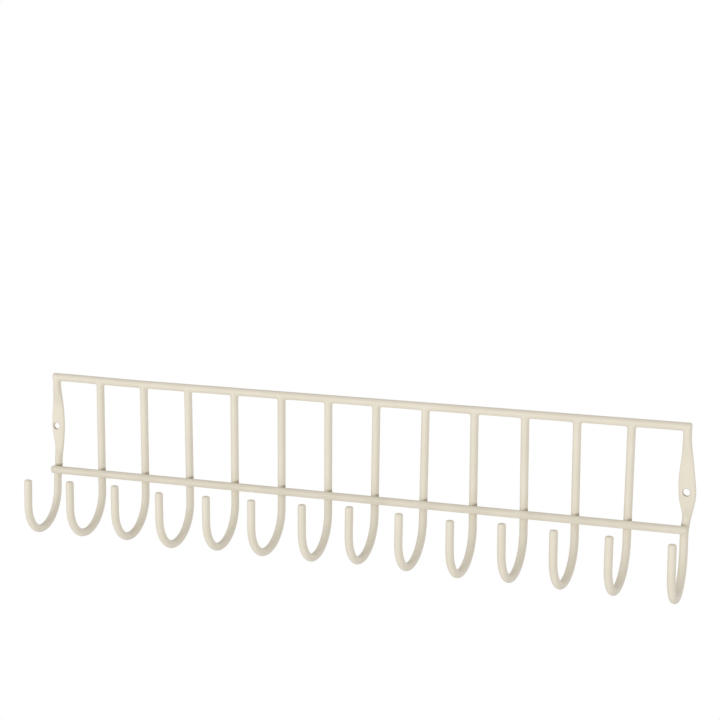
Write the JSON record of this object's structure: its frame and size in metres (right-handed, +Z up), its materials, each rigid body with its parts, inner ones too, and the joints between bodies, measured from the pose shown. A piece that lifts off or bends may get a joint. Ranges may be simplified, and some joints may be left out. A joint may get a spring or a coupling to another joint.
{
  "type": "wall coat rack",
  "caption": "Wall coat rack of welded round wire: two rails carry a row of J hooks, and the pressed flat end posts take the wall screws.",
  "frame": {"origin": "on the wall plane at the middle of the rack's length, level with the top rail's axis, where the back of the top rail touches the wall", "axes": "+X along the rails, to the right as seen from the room; +Z up; +Y into the wall, so the hooks stand out towards -Y"},
  "size_m": [0.5139, 0.057, 0.1215],
  "materials": {
    "powder_coat": "cream powder coat, satin"
  },
  "bodies": {
    "root": {"top_rail": "powder_coat", "lower_rail": "powder_coat", "left_end_hook": "powder_coat", "hook_2": "powder_coat", "hook_3": "powder_coat", "hook_4": "powder_coat", "hook_5": "powder_coat", "hook_6": "powder_coat", "hook_7": "powder_coat", "hook_8": "powder_coat", "hook_9": "powder_coat", "hook_10": "powder_coat", "hook_11": "powder_coat", "hook_12": "powder_coat", "hook_13": "powder_coat", "right_end_hook": "powder_coat"}
  },
  "joints": []
}
